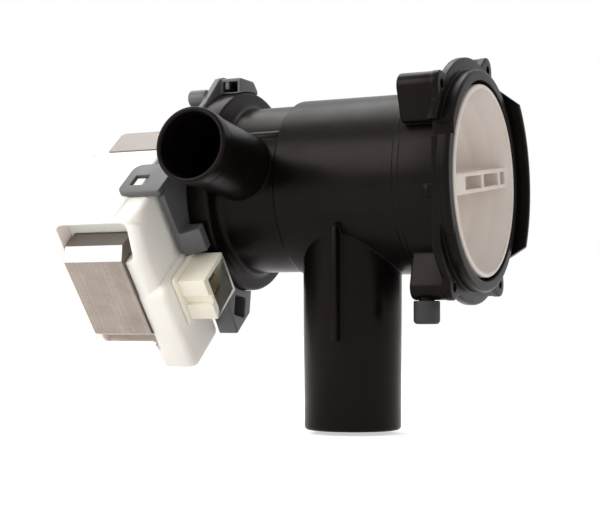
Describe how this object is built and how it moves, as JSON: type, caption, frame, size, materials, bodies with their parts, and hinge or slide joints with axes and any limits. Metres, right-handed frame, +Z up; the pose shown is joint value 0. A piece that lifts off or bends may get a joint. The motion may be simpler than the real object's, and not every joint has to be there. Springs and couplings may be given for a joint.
{
  "type": "drain pump",
  "caption": "Washing machine drain pump: screw-in lint filter, barrel with a downward inlet and side outlet, and a shaded U-core motor with a cream coil block.",
  "frame": {"origin": "middle of the front flange's face, on the axis of the filter barrel", "axes": "+X along the barrel axis and out through the filter opening, +Z up, -Y the side the outlet points to; the inlet points down along -Z"},
  "size_m": [0.1293, 0.0989, 0.1189],
  "materials": {
    "housing_plastic": "black moulded plastic, satin",
    "black_rubber": "soft black rubber",
    "filter_plastic": "natural white moulded plastic, satin",
    "grey_plastic": "grey moulded plastic, satin",
    "bearing_carbon": "sintered dark bearing",
    "brown_resin": "brown glass-filled resin",
    "ferrite": "ground dark ferrite",
    "shaft_steel": "ground steel",
    "laminated_steel": "stacked sheet steel, dull",
    "copper_wire": "enamelled copper wire",
    "cream_plastic": "cream moulded plastic",
    "ivory_plastic": "ivory moulded plastic",
    "tab_metal": "tinned sheet metal"
  },
  "bodies": {
    "housing": {"pump_housing": "housing_plastic", "nozzle_cap": "black_rubber", "motor_flange": "grey_plastic", "bearing_plate": "grey_plastic", "chamber_seal": "black_rubber", "shaft_seal": "black_rubber", "front_bearing": "bearing_carbon", "rear_bearing": "bearing_carbon", "rear_thrust_washer": "brown_resin", "front_thrust_washer": "brown_resin", "stator_pole_upper": "laminated_steel", "stator_pole_lower": "laminated_steel", "stator_yoke": "laminated_steel", "bobbin_upper": "brown_resin", "bobbin_lower": "brown_resin", "winding_upper": "copper_wire", "winding_lower": "copper_wire", "coil_block": "cream_plastic", "connector_socket": "ivory_plastic", "terminal_tab_1": "tab_metal", "terminal_tab_2": "tab_metal"},
    "filter_slide": {"filter_seal": "black_rubber"},
    "filter": {"filter_cap": "filter_plastic", "filter_basket": "filter_plastic"},
    "rotor": {"rotor_magnet": "ferrite", "rotor_shaft": "shaft_steel", "drive_dog": "brown_resin"},
    "impeller": {"impeller": "brown_resin"}
  },
  "joints": [
    {"name": "filter_pull", "type": "slide", "parent": "housing", "child": "filter_slide", "axis": [1, 0, 0], "range_m": [0, 0.06]},
    {"name": "filter_turn", "type": "hinge", "parent": "filter_slide", "child": "filter", "pos_m": [0, 0, 0], "axis": [1, 0, 0], "range_deg": [0, 360]},
    {"name": "rotor_spin", "type": "hinge", "parent": "housing", "child": "rotor", "pos_m": [-0.1058, 0, 0], "axis": [1, 0, 0], "continuous": true},
    {"name": "impeller_spin", "type": "hinge", "parent": "housing", "child": "impeller", "pos_m": [-0.069, 0, 0], "axis": [1, 0, 0], "continuous": true}
  ],
  "couplings": [
    {"joint": "impeller_spin", "follows": "rotor_spin", "ratio": 1}
  ]
}
